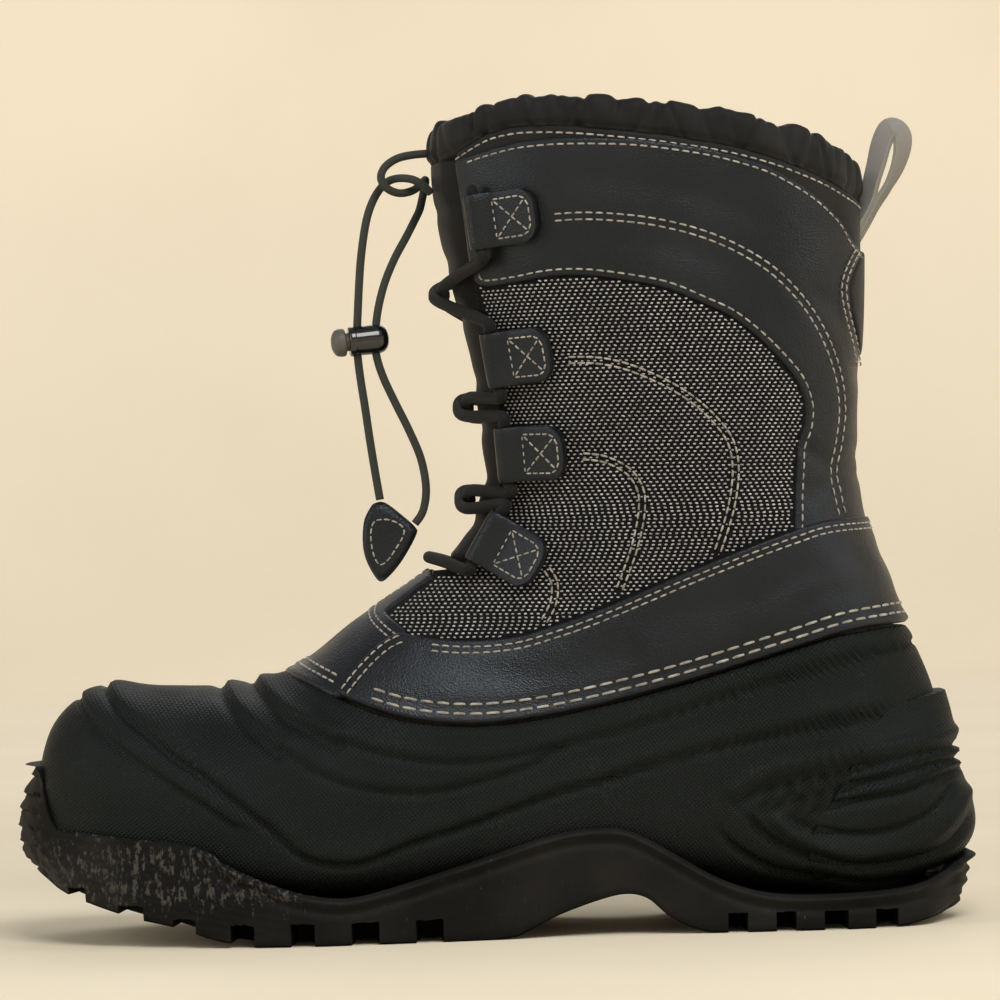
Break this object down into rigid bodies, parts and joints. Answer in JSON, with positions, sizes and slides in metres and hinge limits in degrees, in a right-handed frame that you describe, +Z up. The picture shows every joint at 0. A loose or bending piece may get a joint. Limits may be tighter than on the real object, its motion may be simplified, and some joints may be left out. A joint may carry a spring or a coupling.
{
  "type": "snow boot",
  "caption": "Lace-up winter boot with a rubber shell foot, lugged sole, fabric and leather shaft, gathered snow collar and drawcord; stands on its sole",
  "frame": {"origin": "on the ground under the middle of the boot", "axes": "+Z up, heel towards +X, toe towards -X, outer side towards -Y"},
  "size_m": [0.3165, 0.112, 0.2726],
  "materials": {
    "sole_rubber": "matte black rubber, dusty on the wall",
    "shell_rubber": "satin black rubber with a fine diagonal hatch",
    "woven_fabric": "coarse weave, pale yarn on black",
    "black_leather": "black grained leather, soft sheen",
    "nylon": "dark gathered nylon, slight sheen",
    "insole_felt": "matte felt",
    "lace_cord": "braided black cord",
    "elastic_cord": "braided grey-green elastic",
    "gloss_black": "glossy black plastic",
    "grey_plastic": "matte grey plastic",
    "webbing": "grey woven webbing"
  },
  "bodies": {
    "root": {"outsole": "sole_rubber", "rubber_shell": "shell_rubber", "heel_counter": "shell_rubber", "upper": "woven_fabric", "mudguard": "black_leather", "tongue": "nylon", "collar": "nylon", "insole": "insole_felt", "lace_loop_lateral_1": "black_leather", "lace_loop_lateral_2": "black_leather", "lace_loop_lateral_3": "black_leather", "lace_loop_lateral_4": "black_leather", "lace_loop_medial_1": "black_leather", "lace_loop_medial_2": "black_leather", "lace_loop_medial_3": "black_leather", "lace_loop_medial_4": "black_leather", "lace_crossing_1": "lace_cord", "lace_crossing_2": "lace_cord", "lace_crossing_3": "lace_cord", "lace_bar": "lace_cord", "drawcord_long": "elastic_cord", "drawcord_short": "elastic_cord", "cord_lock_body": "gloss_black", "cord_lock_plunger": "grey_plastic", "pull_tab": "black_leather", "pull_loop": "webbing"}
  },
  "joints": []
}
